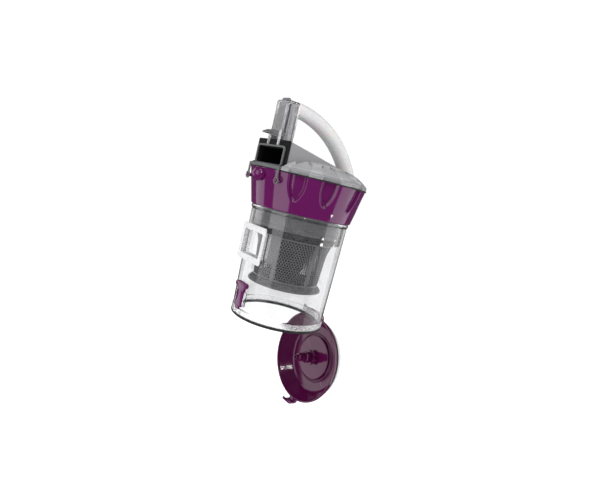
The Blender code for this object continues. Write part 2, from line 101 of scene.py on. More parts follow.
def lid_open():
    """The turn that takes a point of the closed base lid to where it hangs at rest."""
    pivot = Vector(LID_HINGE["pos_m"])
    return Matrix.Translation(pivot) @ Matrix.Rotation(LID_OPEN, 4, "X") @ Matrix.Translation(-pivot)


# ---------------------------------------------------------------- materials

class Look:
    """A Principled material whose colour, roughness and relief vary over the object."""

    def __init__(self, name, colour, rough, **sockets):
        self.material = bpy.data.materials.new(name)
        self.material.use_nodes = True
        self.nodes = self.material.node_tree.nodes
        self.links = self.material.node_tree.links
        self.shader = self.nodes["Principled BSDF"]
        self.shader.inputs["Base Color"].default_value = (*colour, 1.0)
        self.shader.inputs["Roughness"].default_value = rough
        self.colour = colour
        self.rough = rough
        for socket, value in sockets.items():
            self.shader.inputs[socket.replace("_", " ")].default_value = value
        self.coordinates = self.nodes.new("ShaderNodeTexCoord").outputs["Object"]

    def noise(self, scale, detail=3.0, stretch=(1, 1, 1)):
        mapping = self.nodes.new("ShaderNodeMapping")
        mapping.inputs["Scale"].default_value = stretch
        self.links.new(self.coordinates, mapping.inputs["Vector"])
        texture = self.nodes.new("ShaderNodeTexNoise")
        texture.inputs["Scale"].default_value = scale
        texture.inputs["Detail"].default_value = detail
        self.links.new(mapping.outputs["Vector"], texture.inputs["Vector"])
        return texture.outputs["Fac"]

    def remap(self, value, low, high, start=0.3, end=0.7):
        node = self.nodes.new("ShaderNodeMapRange")
        node.inputs["From Min"].default_value = start
        node.inputs["From Max"].default_value = end
        node.inputs["To Min"].default_value = low
        node.inputs["To Max"].default_value = high
        self.links.new(value, node.inputs["Value"])
        return node.outputs["Result"]

    def vary_colour(self, value, other, start=0.3, end=0.7, amount=1.0):
        """Blend the base colour towards another one by a value."""
        mix = self.nodes.new("ShaderNodeMix")
        mix.data_type = "RGBA"
        factor, first, second = mix.inputs[0], mix.inputs[6], mix.inputs[7]
        self.links.new(self.remap(value, 0.0, amount, start, end), factor)
        socket = self.shader.inputs["Base Color"]
        if socket.is_linked:
            self.links.new(socket.links[0].from_socket, first)
        else:
            first.default_value = (*self.colour, 1.0)
        second.default_value = (*other, 1.0)
        self.links.new(mix.outputs[2], socket)

    def wear_edges(self, other, amount):
        """Handling wear: the shell is paler along its raised edges."""
        pointed = self.nodes.new("ShaderNodeNewGeometry").outputs["Pointiness"]
        self.vary_colour(pointed, other, 0.52, 0.60, amount)

    def vary_roughness(self, value, spread):
        self.links.new(self.remap(value, self.rough - spread, self.rough + spread),
                       self.shader.inputs["Roughness"])

    def relief(self, value, distance, strength=1.0):
        bump = self.nodes.new("ShaderNodeBump")
        bump.inputs["Distance"].default_value = distance
        bump.inputs["Strength"].default_value = strength
        self.links.new(value, bump.inputs["Height"])
        normal = self.shader.inputs["Normal"]
        if normal.is_linked:
            self.links.new(normal.links[0].from_socket, bump.inputs["Normal"])
        self.links.new(bump.outputs["Normal"], normal)


def moulded(name, colour, rough, tint, edge, grain=0.00002, grain_scale=900, **sockets):
    """Injection-moulded plastic: faint flow clouding, hair scratches, fine grain, worn edges."""
    look = Look(name, colour, rough, **sockets)
    look.vary_colour(look.noise(22, 4.0), tint, 0.35, 0.75, 0.55)
    look.wear_edges(edge, 0.35)
    look.vary_roughness(look.noise(160, 5.0, (1, 1, 6)), min(0.06, look.rough * 0.5))
    look.relief(look.noise(grain_scale, 2.0), grain)
    look.relief(look.noise(14, 1.0), 0.0004, 0.12)
    return look.material


def clear_plastic(name, colour, rough, weight):
    """Clear styrene: fine scuffs in its gloss and a faint flow wave."""
    look = Look(name, colour, rough, Transmission_Weight=weight, IOR=1.46)
    look.vary_colour(look.noise(30, 4.0), tuple(c * 0.97 for c in colour), 0.4, 0.7)
    look.vary_roughness(look.noise(240, 6.0, (1, 1, 8)), rough * 0.7)
    look.relief(look.noise(9, 1.0), 0.0006, 0.10)
    return look.material


def rubber(name, colour, tint):
    """Elastomer: matt, cloudy, with a fine spark-eroded grain."""
    look = Look(name, colour, 0.62)
    look.vary_colour(look.noise(60, 5.0), tint, 0.35, 0.7, 0.7)
    look.vary_roughness(look.noise(90, 4.0), 0.10)
    look.relief(look.noise(1400, 2.0), 0.00004, 0.8)
    return look.material


def drawn_steel(name):
    look = Look(name, (0.55, 0.55, 0.56), 0.28, Metallic=1.0)
    look.vary_colour(look.noise(80, 4.0), (0.36, 0.36, 0.37), 0.4, 0.75, 0.6)
    look.vary_roughness(look.noise(300, 4.0, (1, 20, 20)), 0.10)
    look.relief(look.noise(500, 3.0, (1, 12, 12)), 0.00003, 0.6)
    return look.material


def foam_look(name):
    look = Look(name, (0.035, 0.036, 0.040), 0.95)
    cells = look.nodes.new("ShaderNodeTexVoronoi")
    cells.inputs["Scale"].default_value = 520
    look.links.new(look.coordinates, cells.inputs["Vector"])
    look.vary_colour(cells.outputs["Distance"], (0.10, 0.10, 0.11), 0.0, 0.6)
    look.relief(cells.outputs["Distance"], 0.0006, 1.0)
    return look.material


PURPLE = moulded("purple_gloss", (0.088, 0.0045, 0.068), 0.085, (0.105, 0.006, 0.078),
                 (0.17, 0.035, 0.14), grain=0.000006, Coat_Weight=0.25, Coat_Roughness=0.05)
AUBERGINE = moulded("aubergine_gloss", (0.062, 0.0022, 0.036), 0.10, (0.074, 0.003, 0.044),
                    (0.20, 0.06, 0.15), grain=0.000006, Coat_Weight=0.25, Coat_Roughness=0.05)
CLEAR = clear_plastic("clear_styrene", (0.80, 0.80, 0.808), 0.012, 1.0)
CLEAR_RIM = clear_plastic("clear_thick_rim", (0.90, 0.90, 0.905), 0.22, 0.80)
CLEAR_COLUMN = clear_plastic("clear_column", (0.95, 0.95, 0.96), 0.03, 1.0)
MILKY = moulded("milky_handle", (0.66, 0.655, 0.66), 0.24, (0.61, 0.605, 0.615), (0.80, 0.80, 0.80),
                Subsurface_Weight=0.35, Subsurface_Scale=0.01, Transmission_Weight=0.12)
SILVER = moulded("silver_dome", (0.42, 0.42, 0.43), 0.22, (0.47, 0.47, 0.48), (0.62, 0.62, 0.63),
                 Metallic=0.15, Transmission_Weight=0.10)
SILVER_RIM = moulded("silver_rim", (0.22, 0.22, 0.228), 0.26, (0.27, 0.27, 0.28), (0.45, 0.45, 0.46))
DUCT = moulded("duct_grey", (0.235, 0.235, 0.248), 0.34, (0.205, 0.205, 0.217), (0.40, 0.40, 0.41))
GREY = moulded("cyclone_grey", (0.102, 0.101, 0.106), 0.26, (0.086, 0.085, 0.090), (0.26, 0.26, 0.27))
DARK = moulded("dark_grey", (0.085, 0.083, 0.090), 0.28, (0.065, 0.063, 0.070), (0.24, 0.24, 0.25))
BLACK = moulded("black_housing", (0.004, 0.004, 0.0045), 0.55, (0.007, 0.007, 0.008), (0.03, 0.03, 0.03),
                Specular_IOR_Level=0.08)
SCREEN_GREY = moulded("screen_grey", (0.128, 0.127, 0.134), 0.34, (0.108, 0.107, 0.114), (0.12, 0.12, 0.12))
VOID = moulded("shaded_inside", (0.004, 0.004, 0.0045), 0.60, (0.007, 0.007, 0.008), (0.02, 0.02, 0.02),
               Specular_IOR_Level=0.10)
CORE = moulded("core_grey", (0.30, 0.30, 0.31), 0.40, (0.26, 0.26, 0.27), (0.42, 0.42, 0.43))
GREY_RUBBER = rubber("grey_rubber", (0.110, 0.112, 0.114), (0.085, 0.087, 0.090))
BLACK_RUBBER = rubber("black_rubber", (0.010, 0.010, 0.011), (0.020, 0.020, 0.021))
PALE_RUBBER = rubber("pale_rubber", (0.62, 0.62, 0.625), (0.55, 0.55, 0.555))
FROSTED = clear_plastic("frosted_plate", (0.74, 0.74, 0.75), 0.42, 0.30)
GLOSS_BLACK = moulded("gloss_seal", (0.006, 0.006, 0.007), 0.16, (0.010, 0.010, 0.011), (0.04, 0.04, 0.04))
PRINT = Look("pad_print_white", (0.80, 0.80, 0.80), 0.45)
PRINT.vary_colour(PRINT.noise(400, 4.0), (0.62, 0.62, 0.62), 0.45, 0.8)
SEE_THROUGH = (CLEAR, CLEAR_RIM, CLEAR_COLUMN, FROSTED)
STEEL = drawn_steel("bright_steel")
FOAM = foam_look("filter_foam")


# ---------------------------------------------------------------- mesh tools

def piece(name, bm, mat, body, stands_for=(), place=None, sharp=35):
    """A finished mesh piece, drawn in canister millimetres and carried by a body.

    Light passes through the clear pieces, so they cast no shadow.
    """
    bmesh.ops.recalc_face_normals(bm, faces=bm.faces)
    mesh = bpy.data.meshes.new(name)
    bm.to_mesh(mesh)
    bm.free()
    mesh.transform(Matrix.Translation((0, AXIS_Y, RIM_Z)) @ Matrix.Scale(MM, 4))
    if place is not None:
        mesh.transform(place)
    mesh.shade_smooth()
    mesh.set_sharp_from_angle(angle=math.radians(sharp))
    mesh.materials.append(mat if isinstance(mat, bpy.types.Material) else mat.material)
    obj = bpy.data.objects.new(name, mesh)
    bpy.context.scene.collection.objects.link(obj)
    obj.visible_shadow = mat not in SEE_THROUGH
    if body:
        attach(obj, body)
    if stands_for:
        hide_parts(*stands_for)
    return obj


def fillet(points, radius, steps=4):
    """A closed outline with each corner rounded by a quadratic arc; radius may be one per point."""
    count = len(points)
    radii = radius if isinstance(radius, (list, tuple)) else [radius] * count
    rounded = []
    for i, corner in enumerate(points):
        before = Vector(points[i - 1]) - Vector(corner)
        after = Vector(points[(i + 1) % count]) - Vector(corner)
        reach = min(radii[i], before.length * 0.45, after.length * 0.45)
        if reach < 0.01 or corner[0] == 0:
            rounded.append(tuple(corner))
            continue
        start = Vector(corner) + before.normalized() * reach
        end = Vector(corner) + after.normalized() * reach
        for step in range(steps + 1):
            t = step / steps
            point = start * (1 - t) ** 2 + Vector(corner) * 2 * t * (1 - t) + end * t * t
            rounded.append(tuple(point))
    return rounded


def spun(profile, segments, radius_change=None):
    """The closed body that a closed (radius, height) outline makes about the axis."""
    bm = bmesh.new()
    columns = []
    for k in range(segments):
        angle = math.tau * k / segments
        column = []
        for r, z in profile:
            if radius_change is not None:
                r = r - radius_change(angle, r, z)
            column.append(bm.verts.new((r * math.cos(angle), r * math.sin(angle), z)))
        columns.append(column)
    count = len(profile)
    for k in range(segments):
        one, two = columns[k], columns[(k + 1) % segments]
        for i in range(count):
            j = (i + 1) % count
            bm.faces.new((one[i], one[j], two[j], two[i]))
    bmesh.ops.remove_doubles(bm, verts=bm.verts, dist=0.0005)
    bmesh.ops.dissolve_degenerate(bm, edges=bm.edges, dist=0.0001)
    return bm


def loft(loops, caps=True):
    """Skin a list of equally long closed loops of points."""
    bm = bmesh.new()
    rings = [[bm.verts.new(p) for p in loop] for loop in loops]
    for one, two in zip(rings, rings[1:]):
        for i in range(len(one)):
            j = (i + 1) % len(one)
            bm.faces.new((one[i], one[j], two[j], two[i]))
    if caps:
        bm.faces.new(rings[0])
        bm.faces.new(rings[-1])
    else:
        for i in range(len(rings[0])):
            j = (i + 1) % len(rings[0])
            bm.faces.new((rings[-1][i], rings[-1][j], rings[0][j], rings[0][i]))
    return bm


def soften(bm, width, segments=3, angle=30):
    """Round every edge that is sharper than an angle."""
    bm.normal_update()
    bmesh.ops.recalc_face_normals(bm, faces=bm.faces)
    sharp = [e for e in bm.edges if len(e.link_faces) == 2 and e.calc_face_angle(0) > math.radians(angle)]
    bmesh.ops.bevel(bm, geom=sharp, offset=width, segments=segments, profile=0.5, affect="EDGES",
                    clamp_overlap=True)
    return bm


def block(x, y, z, width=0.0, segments=3):
    bm = bmesh.new()
    bmesh.ops.create_cube(bm, size=1.0)
    for v in bm.verts:
        v.co = Vector((x[v.co.x > 0], y[v.co.y > 0], z[v.co.z > 0]))
    return soften(bm, width, segments) if width else bm


def merge(*parts):
    """Join several bmeshes into the first."""
    whole = parts[0]
    for other in parts[1:]:
        mesh = bpy.data.meshes.new("joined")
        other.to_mesh(mesh)
        other.free()
        whole.from_mesh(mesh)
        bpy.data.meshes.remove(mesh)
    return whole


def boolean(bm, tool, operation="DIFFERENCE"):
    """Cut or join one bmesh by another through Blender's exact Boolean."""
    pair = []
    for source in (bm, tool):
        bmesh.ops.recalc_face_normals(source, faces=source.faces)
        mesh = bpy.data.meshes.new("boolean")
        source.to_mesh(mesh)
        source.free()
        obj = bpy.data.objects.new("boolean", mesh)
        bpy.context.scene.collection.objects.link(obj)
        pair.append(obj)
    modifier = pair[0].modifiers.new("cut", "BOOLEAN")
    modifier.operation = operation
    modifier.object = pair[1]
    modifier.solver = "EXACT"
    evaluated = pair[0].evaluated_get(bpy.context.evaluated_depsgraph_get())
    result = bmesh.new()
    result.from_mesh(evaluated.to_mesh())
    for obj in pair:
        mesh = obj.data
        bpy.data.objects.remove(obj)
        bpy.data.meshes.remove(mesh)
    return result


def rounded_rectangle(half_width, half_height, radius, steps=6):
    points = []
    for corner in range(4):
        cx = (half_width - radius) * (1 if corner in (0, 3) else -1)
        cy = (half_height - radius) * (1 if corner in (0, 1) else -1)
        for step in range(steps + 1):
            angle = math.pi / 2 * (corner + step / steps)
            points.append((cx + radius * math.cos(angle), cy + radius * math.sin(angle)))
    return points


def frame_along_y(outer, inner, centre_z, y, lip):
    """A rounded rectangular tube along Y whose front and back rims are rounded over by a lip."""
    def loop(shape, depth, grow=0.0):
        half_width, half_height, radius = shape
        return [(u, depth, centre_z + v)
                for u, v in rounded_rectangle(half_width + grow, half_height + grow, radius + grow)]
    front, back = y
    loops = [loop(outer, front + lip), loop(outer, back - lip), loop(outer, back - lip * 0.3, -lip * 0.3),
             loop(outer, back, -lip), loop(inner, back, lip), loop(inner, back - lip, 0),
             loop(inner, front + lip, 0), loop(inner, front, lip), loop(outer, front, -lip),
             loop(outer, front + lip * 0.3, -lip * 0.3)]
    return loft(loops, caps=False)


def rod(start, end, radius, sides=32, chamfer=0.0):
    start, end = Vector(start), Vector(end)
    turn = (end - start).to_track_quat("Z", "Y").to_matrix().to_4x4()
    bm = bmesh.new()
    bmesh.ops.create_cone(bm, cap_ends=True, segments=sides, radius1=radius, radius2=radius,
                          depth=(end - start).length, matrix=Matrix.Translation((start + end) / 2) @ turn)
    return soften(bm, chamfer, 3, 60) if chamfer else bm


def prism_x(outline, x):
    return loft([[(at, py, pz) for py, pz in outline] for at in x])


def smooth(edge0, edge1, value):
    t = min(1.0, max(0.0, (value - edge0) / (edge1 - edge0)))
    return t * t * (3 - 2 * t)


# ---------------------------------------------------------------- collar and top lid

COLLAR_LOW, COLLAR_HIGH = limits("collar")
COLLAR_Z = (COLLAR_LOW.z, COLLAR_HIGH.z)
COLLAR_R = (74.6, 86.2)
RECESS_ANGLES = [math.radians(-90 + side * (42.5 + 30.5 * k)) for side in (-1, 1) for k in range(5)]
RECESS_HALF_WIDTH = 13.4
RECESS_TIP_Z, RECESS_STRAIGHT_Z = 177.6, 203.0
RECESS_DEPTH = 5.0
EAR_X, EAR_Z = 36.0, 201.0


def recess_edge(angle, z, half_width=RECESS_HALF_WIDTH):
    """How far inside the nearest U-shaped recess a point lies, in millimetres; negative outside."""
    away = min(abs((angle - middle + math.pi) % math.tau - math.pi) for middle in RECESS_ANGLES)
    across = away * COLLAR_R[1] / half_width
    down = max(0.0, (RECESS_STRAIGHT_Z - z) / (RECESS_STRAIGHT_Z - RECESS_TIP_Z))
    return (1.0 - (across ** 1.7 + down ** 1.7) ** (1 / 1.7)) * half_width


def collar_recess(angle, radius, z):
    if radius < 77.4 or z < 176.0:
        return 0.0
    return RECESS_DEPTH * smooth(0.0, 4.2, recess_edge(angle, z))


def make_collar():
    low, high = COLLAR_Z
    rows = 58
    outer = []
    for k in range(rows + 1):
        z = low + 0.9 + (high - low - 1.7) * k / rows
        outer.append((COLLAR_R[0] + (COLLAR_R[1] - COLLAR_R[0]) * (z - low) / (high - low), z))
    top = [(COLLAR_R[1] - 0.35, high - 0.2), (COLLAR_R[1] - 1.2, high), (81.0, high), (80.2, high - 0.6)]
    inner = [(77.6, 201.0), (76.2, 190.8), (60.0, 190.5), (60.0, 188.5), (75.6, 188.5), (75.0, 172.8),
             (72.9, 172.0), (72.9, low + 0.6), (73.4, low), (COLLAR_R[0] - 0.7, low),
             (COLLAR_R[0] - 0.15, low + 0.3)]
    piece("collar_shell", spun(outer + top + inner, 720, collar_recess), PURPLE, "upper",
          ("collar",), sharp=60)

    nose = bmesh.new()
    bmesh.ops.create_uvsphere(nose, u_segments=48, v_segments=32, radius=1.0)
    for v in nose.verts:
        pinch = 1.0 - 0.45 * max(0.0, -v.co.z) ** 1.6
        v.co = Vector((v.co.x * 12.6 * pinch, v.co.y * 9.5 * pinch - 86.2, v.co.z * 9.8 + 204.8))
    piece("collar_nose", nose, PURPLE, "upper")
    for side, label in ((-1, "left"), (1, "right")):
        peg = rod((side * EAR_X, -74.0, EAR_Z), (side * EAR_X, -83.0, EAR_Z), 2.4, 32, 0.7)
        piece("ear_peg_" + label, peg, PURPLE, "upper")
    mark = [(-2.1, 1.9), (2.1, 1.9), (0.0, -2.1)]
    print_on_wall("collar_arrow", mark, math.radians(-5.1), 171.7, COLLAR_R[0] + 2.0, "upper", 0.23)


def print_on_wall(name, outline, angle, z, radius, body, slope=0.02, depth=0.12):
    """A thin pad-printed mark that follows the wall's curve; outline is (across, up)."""
    loops = []
    for lift in (-0.25, depth):
        loop = []
        for across, up in outline:
            r = radius + slope * up + lift
            turn = angle + across / radius
            loop.append((r * math.cos(turn), r * math.sin(turn), z + up))
        loops.append(loop)
    piece(name, loft(loops), PRINT, body)


def arc(cx, cz, radius, start, end, steps):
    return [(cx + radius * math.cos(math.radians(start + (end - start) * k / steps)),
             cz + radius * math.sin(math.radians(start + (end - start) * k / steps)))
            for k in range(steps + 1)]


def make_bin_marks():
    """Closed and open arrows with a small closed and open padlock below them."""
    arrow = [(-2.2, -2.0), (2.2, -2.0), (0.0, 2.2)]
    wall = bin_radius(138.0)
    closed, opened = math.radians(-6.1), math.radians(13.0)
    print_on_wall("arrow_closed", arrow, closed, 139.2, wall, "bin")
    print_on_wall("arrow_open", [(a * 0.8, b * 0.8) for a, b in arrow], opened, 139.2, wall, "bin")
    for label, angle, size, lift in (("closed", closed, 1.0, 0.0), ("open", opened, 0.72, 1.2)):
        lock_body = rounded_rectangle(2.3 * size, 1.8 * size, 0.6 * size, 3)
        print_on_wall("padlock_body_" + label, lock_body, angle, 130.4, wall, "bin")
        reach = 1.5 * size
        outer = arc(0, 1.6 * size + lift, reach, 0, 180, 10)
        inner = arc(0, 1.6 * size + lift, reach - 0.6 * size, 180, 0, 10)
        print_on_wall("padlock_bow_" + label, outer + inner, angle, 130.4, wall, "bin")


RIM_LOW, RIM_HIGH = limits("top_lid")
RIM_R = RIM_HIGH.x
DOME = [(84.2, 222.0), (80.6, 225.2), (72.0, 230.3), (61.0, 234.6), (40.0, 238.5), (20.0, 239.9)]
DOME_UNDER = [(20.0, 237.7), (40.0, 236.3), (61.0, 232.4), (72.0, 228.1), (79.6, 223.6), (82.6, 220.4)]
DUCT_X = limits("exhaust_duct")[1].x
DUCT_REAR_Y = 15.0
PORT_LOW, PORT_HIGH = limits("port_housing")
PORT_MOUTH_Z = 233.2
MOUTH_HALF = (30.0, 11.5)
SILL_R = 87.6


def dome_petals(angle, radius, z):
    """Shallow petals: the dome's edge is scooped wherever the collar has a recess."""
    if radius < 48.0:
        return 0.0
    outward = smooth(48.0, 72.0, radius)
    depth = 6.5 * outward * smooth(85.0, 76.0, radius) + 1.6 * outward
    return depth * smooth(0.0, 1.6, recess_edge(angle, RECESS_STRAIGHT_Z, 3.0 + 12.0 * outward))


def rim_scallop(angle, radius, z):
    """The rim follows the collar's recesses with shallow scoops."""
    if radius < 83.0:
        return 0.0
    scoop = smooth(-1.0, 2.6, recess_edge(angle, RECESS_STRAIGHT_Z, 14.0))
    return 3.6 * scoop * smooth(225.5, 218.0, z)


def make_top_lid():
    low = RIM_LOW.z
    rim = [(82.6, low), (RIM_R - 0.5, low), (RIM_R, low + 0.5), (RIM_R, low + 1.8), (RIM_R, low + 3.2),
           (RIM_R - 0.1, low + 4.4), (RIM_R - 0.7, low + 5.3), (RIM_R - 1.8, low + 6.1),
           (83.6, low + 6.9), (82.6, low + 6.6)]
    rim_bm = spun(rim, 480, rim_scallop)
    rim_bm = boolean(rim_bm, block((-PORT_HIGH.x - 0.3, PORT_HIGH.x + 0.3), (-95, -50), (205, 262)))
    piece("top_lid_rim", rim_bm, SILVER_RIM, "upper", sharp=40)

    dome = [(84.2, 220.4)] + DOME + [(0.0, 240.4), (0.0, 238.2)] + DOME_UNDER
    dome_bm = spun(fillet(dome, [0.4, 0.6] + [2.5] * 5 + [0, 0] + [2.0] * 5 + [0.4], 5), 480, dome_petals)
    dome_bm = boolean(dome_bm, block((-DUCT_X - 0.25, DUCT_X + 0.25), (-95, DUCT_REAR_Y + 0.2), (205, 262)))
    dome_bm = boolean(dome_bm, block((-PORT_HIGH.x - 0.3, PORT_HIGH.x + 0.3), (-95, PORT_HIGH.y + 0.3),
                                     (205, 262)))
    piece("top_lid_dome", dome_bm, SILVER, "upper", ("top_lid",), sharp=40)

    gasket = spun(fillet([(80.4, 213.8), (86.6, 213.8), (86.6, 215.1), (80.4, 215.1)], 0.4), 240)
    gasket = boolean(gasket, block((-PORT_HIGH.x - 0.3, PORT_HIGH.x + 0.3), (-95, -50), (205, 218)))
    piece("lid_gasket_ring", gasket, BLACK_RUBBER, "upper", ("lid_gasket",))


# ---------------------------------------------------------------- exhaust port

DUCT_TOP = [(-70.5, 254.4), (-40.0, 249.2), (-8.0, 243.6), (12.0, 240.2)]


def rectangle_loft(shape, centre_z, stations):
    """A rounded rectangle (half width, half height, corner radius) swept along Y, inset at stations."""
    half_width, half_height, radius = shape
    return loft([[(x, y, centre_z + z)
                  for x, z in rounded_rectangle(half_width - inset, half_height - inset, radius)]
                 for y, inset in stations])


def make_exhaust():
    outline = DUCT_TOP + [(DUCT_REAR_Y, 239.6), (DUCT_REAR_Y, 219.0), (-70.5, 217.5)]
    duct = soften(prism_x(outline, (-DUCT_X, DUCT_X)), 1.1, 4, 20)
    rear_y = DUCT_REAR_Y - WALL
    hollow = prism_x([(-74.0, 252.8), (-40.0, 247.2), (-8.0, 241.6), (12.0, 238.0), (rear_y, 237.4),
                      (rear_y, 221.0), (-74.0, 219.5)], (-DUCT_X + WALL, DUCT_X - WALL))
    piece("exhaust_wedge", boolean(duct, hollow), DUCT, "upper", ("exhaust_duct",),
          sharp=40)

    half_x = PORT_HIGH.x
    half_z = (PORT_HIGH.z - PORT_LOW.z) / 2
    plate = rectangle_loft((half_x, half_z, 1.6), PORT_LOW.z + half_z,
                           ((PORT_LOW.y, 0.8), (PORT_LOW.y + 0.7, 0.0), (PORT_HIGH.y, 0.0)))
    mouth = rectangle_loft((*MOUTH_HALF, 3.0), PORT_MOUTH_Z, ((-80.0, 0.0), (-60.0, 0.0)))
    piece("port_box", boolean(plate, mouth), BLACK, "upper", ("port_housing",))
    sleeve = rectangle_loft((*MOUTH_HALF, 3.0), PORT_MOUTH_Z, ((-70.6, 0.0), (-24.0, 0.4), (-22.0, 1.6)))
    inside = rectangle_loft((MOUTH_HALF[0] - 1.0, MOUTH_HALF[1] - 1.0, 2.5), PORT_MOUTH_Z,
                            ((-75.0, 0.0), (-25.0, 0.4), (-23.0, 1.6)))
    piece("port_sleeve", boolean(sleeve, inside), BLACK, "upper")

    parts = [frame_along_y((33.4, 14.0, 4.5), (30.9, 11.5, 3.2), PORT_MOUTH_Z, (-77.0, -74.3), 0.6)]
    half, low, high = 37.6, 215.4, 219.9
    edge = [half * (k / 16 - 1) for k in range(33)]
    outline = [(x, -math.sqrt(SILL_R ** 2 - x * x)) for x in edge] + [(half, -74.4), (-half, -74.4)]
    parts.append(soften(loft([[(x, y, z) for x, y in outline] for z in (low, high)]), 0.7, 3, 50))
    for side in (-1, 1):
        strap = sorted((side * (EAR_X - 2.0), side * (EAR_X + 1.4)))
        parts.append(block(strap, (-81.8, -80.0), (EAR_Z + 3.4, high - 0.2), 0.5))
        parts.append(ear_ring(side * EAR_X))
    gasket = parts[0]
    for part in parts[1:]:
        gasket = boolean(gasket, part, "UNION")
    piece("port_gasket_frame", gasket, GREY_RUBBER, "upper", ("port_gasket",), sharp=40)


def ear_ring(x):
    """The gasket ear's eyelet, a flattened ring around its peg."""
    loops = []
    for k in range(48):
        angle = math.tau * k / 48
        out = Vector((math.cos(angle), 0, math.sin(angle)))
        middle = Vector((x, -80.9, EAR_Z)) + out * 4.0
        loops.append([middle + out * 1.15 * math.cos(a) + Vector((0, 0.95 * math.sin(a), 0))
                      for a in (math.tau * s / 16 for s in range(16))])
    return loft(loops, caps=False)


# ---------------------------------------------------------------- handle

ARCH_CENTRE = (-55.0, 152.0)
ARCH_R = 150.0


def make_handle():
    """Milky bow: a rounded section swept along one arc, trimmed to the dome."""
    steps, sides = 72, 48
    first, last = math.radians(88.6), math.radians(26.5)
    loops = []
    for k in range(steps + 1):
        share = k / steps
        angle = first + (last - first) * share
        out = Vector((0, math.cos(angle), math.sin(angle)))
        middle = Vector((0, *ARCH_CENTRE)) + out * ARCH_R
        thick = 9.8 + 2.0 * share
        loop = []
        for s in range(sides):
            a = math.tau * s / sides
            c, w = math.cos(a), math.sin(a)
            x = math.copysign(abs(c) ** 0.82, c) * 10.9
            up = math.copysign(abs(w) ** 0.82, w) * thick
            loop.append(middle + out * up + Vector((x, 0, 0)))
        loops.append(loop)
    arch = loft(loops)
    foot = [(0.0, 190.0), (92.0, 190.0), (92.0, 218.0), (85.0, 222.6)]
    foot += [(r, z + 0.35) for r, z in DOME[1:]] + [(0.0, 240.8)]
    piece("handle_bow", boolean(arch, spun(foot, 180)), MILKY, "upper",
          ("handle_arch",), sharp=50)


COLUMN_LOW, COLUMN_HIGH = limits("handle_column")


def make_column():
    x, y = COLUMN_HIGH.x, (COLUMN_LOW.y, COLUMN_HIGH.y)
    low, high = COLUMN_LOW.z, COLUMN_HIGH.z
    centre_y, half_y = sum(y) / 2, (y[1] - y[0]) / 2

    def loop(z, inset, radius=3.2):
        return [(u, centre_y + v, z) for u, v in rounded_rectangle(x - inset, half_y - inset, radius)]

    shell = loft([loop(low, 0.4), loop(low + 0.5, 0.0), loop(high - 3.0, 0.0), loop(high - 1.3, 0.5),
                  loop(high - 0.3, 1.7), loop(high, 3.2, 2.0)])
    cavity = loft([loop(low - 5, 1.9, 1.8), loop(high - 2.4, 1.9, 1.8)])
    shell = boolean(shell, cavity)
    shell = boolean(shell, block((-9.6, 9.6), (-80, y[0] + 3.4), (low - 5, low + 11)))
    shell = boolean(shell, block((-7.8, 7.8), (-71.2, -65.3), (high - 9, high + 5)))
    for side in (-1, 1):
        for at in (9.4, 11.4):
            rib = block(sorted((side * at, side * (at + 0.7))), (y[0] + 1.5, y[0] + 2.7),
                        (low + 12, high - 4), 0.2, 2)
            shell = boolean(shell, rib, "UNION")
    piece("column_shell", shell, CLEAR_COLUMN, "upper", ("handle_column",), sharp=35)

    foot_z = PORT_MOUTH_Z + 14.2
    legs = [block((-11.8, -9.2), (-76.8, -74.2), (foot_z, low + 4.6), 0.5),
            block((12.2, 15.0), (-76.8, -74.2), (foot_z, low + 12.0), 0.7)]
    piece("column_fork", merge(*legs), CLEAR_RIM, "upper")

    core = block((-8.4, 8.4), (-63.4, -54.2), (256.2, 305.6), 0.9)
    for groove_y in (-61.6, -58.9, -56.2):
        for side in (-1, 1):
            groove = block(sorted((side * 7.6, side * 9.0)), (groove_y - 0.5, groove_y + 0.5),
                           (259.0, 302.0))
            core = boolean(core, groove)
    piece("column_core_post", core, CORE, "upper", ("column_core",))


def make_latch():
    button = loft([[(u, -68.2 + v, z) for u, v in rounded_rectangle(7.4 - i, 2.4 - i, 1.2)]
                   for z, i in ((302.6, 0.0), (311.0, 0.0), (311.7, 0.3), (312.0, 0.9))])
    piece("button_cap", button, DARK, "release_latch", ("release_button",))
    shaft = block((-7.2, 7.2), (-71.0, -65.6), (266.4, 302.3), 0.6)
    for x in (-4.6, -1.6, 1.6, 4.6):
        shaft = boolean(shaft, block((x - 0.5, x + 0.5), (-71.5, -70.3), (269, 300)))
    piece("push_rod_shaft", shaft, DARK, "release_latch", ("push_rod",))
    outline = [(-64.8, 260.4), (-64.8, 266.0), (-82.4, 266.0), (-89.5, 262.2), (-89.8, 260.9),
               (-88.8, 260.4)]
    hook = soften(prism_x(outline, (-8.8, 8.8)), 0.45, 3, 25)
    piece("dock_hook", hook, DARK, "release_latch", ("dock_latch",))


# ---------------------------------------------------------------- cyclone inside the bin

SCREEN = [(49.2, 61.7), (52.5, 110.0), (57.8, 127.6), (57.8, 133.0)]
SCREEN_HOLES_Z = (64.6, 125.0)
SCREEN_ROWS = 18
PANEL_COLUMNS = 12
PANELS = 6
RIB_HALF = math.radians(3.2)
HOLE_R = 1.58


def screen_radius(z):
    for (r0, z0), (r1, z1) in zip(SCREEN, SCREEN[1:]):
        if z <= z1:
            return r0 + (r1 - r0) * (z - z0) / (z1 - z0)
    return SCREEN[-1][0]


